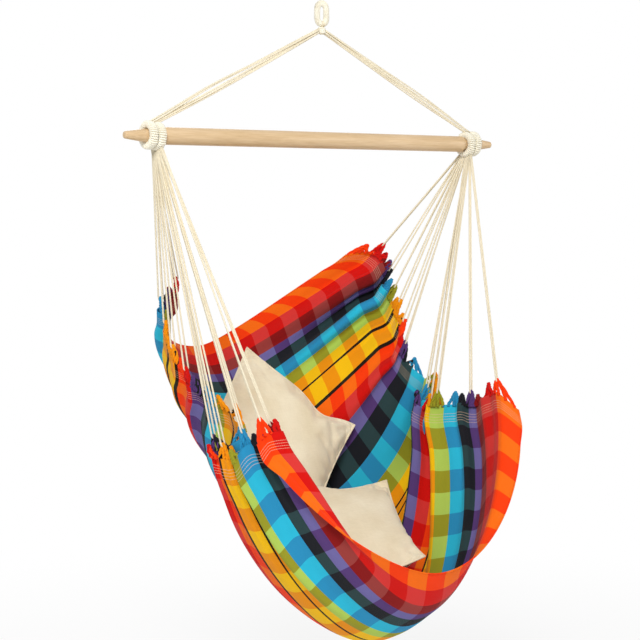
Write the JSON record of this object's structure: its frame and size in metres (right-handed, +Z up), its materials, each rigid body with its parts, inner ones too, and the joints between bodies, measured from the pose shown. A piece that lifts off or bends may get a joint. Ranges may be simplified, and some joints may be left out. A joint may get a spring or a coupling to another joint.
{
  "type": "hammock chair",
  "caption": "Hanging hammock chair: a checked cotton seat hung by fans of cords from a turned wooden spreader bar, with a whipped hanging eye and loose cushions.",
  "frame": {"origin": "The point at the top inside the hanging eye where a hook bears, midway along the spreader bar.", "axes": "+Z is up, the spreader bar lies along X, and the sitter faces -Y."},
  "size_m": [1.1, 0.9302, 1.5214],
  "materials": {
    "beech": "fine sanded pale beech with a clear matt oil",
    "cotton_cord": "natural cream cotton cord",
    "twine": "tightly wound natural cotton twine",
    "checked_cotton": "woven cotton with bright warp stripes in orange, red, maroon, purple, black, turquoise, lime and yellow, crossed by paler weft bands",
    "fringe_cotton": "twisted cotton warp ends in the stripe colours",
    "linen": "plain cream woven cotton",
    "wadding": "white fibre filling",
    "zip_tape": "cream woven zip tape"
  },
  "bodies": {
    "eye": {"hanging_eye_rope": "cotton_cord", "hanging_eye_whipping": "twine"},
    "throat": {"throat_rope": "cotton_cord", "throat_binding": "twine"},
    "bridle": {"bridle_collar_left_rope": "cotton_cord", "bridle_collar_left_whipping": "twine", "bridle_collar_right_rope": "cotton_cord", "bridle_collar_right_whipping": "twine", "bridle_cord_left_1": "cotton_cord", "bridle_cord_left_2": "cotton_cord", "bridle_cord_left_3": "cotton_cord", "bridle_cord_left_4": "cotton_cord", "bridle_cord_left_5": "cotton_cord", "bridle_cord_right_1": "cotton_cord", "bridle_cord_right_2": "cotton_cord", "bridle_cord_right_3": "cotton_cord", "bridle_cord_right_4": "cotton_cord", "bridle_cord_right_5": "cotton_cord"},
    "bar": {"spreader_bar": "beech"},
    "seat": {"seat_collar_left_rope": "cotton_cord", "seat_collar_left_whipping": "twine", "seat_collar_right_rope": "cotton_cord", "seat_collar_right_whipping": "twine", "seat_cloth": "checked_cotton", "fringe_left": "fringe_cotton", "fringe_right": "fringe_cotton", "seat_cord_left_1": "cotton_cord", "seat_cord_left_2": "cotton_cord", "seat_cord_left_3": "cotton_cord", "seat_cord_left_4": "cotton_cord", "seat_cord_left_5": "cotton_cord", "seat_cord_left_6": "cotton_cord", "seat_cord_left_7": "cotton_cord", "seat_cord_left_8": "cotton_cord", "seat_cord_left_9": "cotton_cord", "seat_cord_left_10": "cotton_cord", "seat_cord_left_11": "cotton_cord", "seat_cord_left_12": "cotton_cord", "seat_cord_right_1": "cotton_cord", "seat_cord_right_2": "cotton_cord", "seat_cord_right_3": "cotton_cord", "seat_cord_right_4": "cotton_cord", "seat_cord_right_5": "cotton_cord", "seat_cord_right_6": "cotton_cord", "seat_cord_right_7": "cotton_cord", "seat_cord_right_8": "cotton_cord", "seat_cord_right_9": "cotton_cord", "seat_cord_right_10": "cotton_cord", "seat_cord_right_11": "cotton_cord", "seat_cord_right_12": "cotton_cord"},
    "back_cushion": {"back_cushion_cover": "linen", "back_cushion_filling": "wadding", "back_cushion_zip": "zip_tape"},
    "seat_cushion": {"seat_cushion_cover": "linen", "seat_cushion_filling": "wadding", "seat_cushion_zip": "zip_tape"}
  },
  "joints": [
    {"name": "swing", "type": "hinge", "parent": "eye", "child": "throat", "pos_m": [0, 0, -0.0529], "axis": [1, 0, 0], "range_deg": [-15, 15]},
    {"name": "swivel", "type": "hinge", "parent": "throat", "child": "bridle", "pos_m": [0, 0, -0.0529], "axis": [0, 0, 1], "range_deg": [-60, 60], "stiffness_Nm_per_rad": 0.5},
    {"name": "bar_roll", "type": "hinge", "parent": "bridle", "child": "bar", "pos_m": [0, 0, -0.319], "axis": [1, 0, 0], "continuous": true},
    {"name": "seat_swing", "type": "hinge", "parent": "bridle", "child": "seat", "pos_m": [0, 0, -0.319], "axis": [1, 0, 0], "range_deg": [-20, 20]},
    {"name": "back_cushion_lift", "type": "slide", "parent": "seat", "child": "back_cushion", "axis": [0, 0.3987, 0.9171], "range_m": [0, 0.5]},
    {"name": "seat_cushion_lift", "type": "slide", "parent": "seat", "child": "seat_cushion", "axis": [0, 0, 1], "range_m": [0, 0.5]}
  ]
}
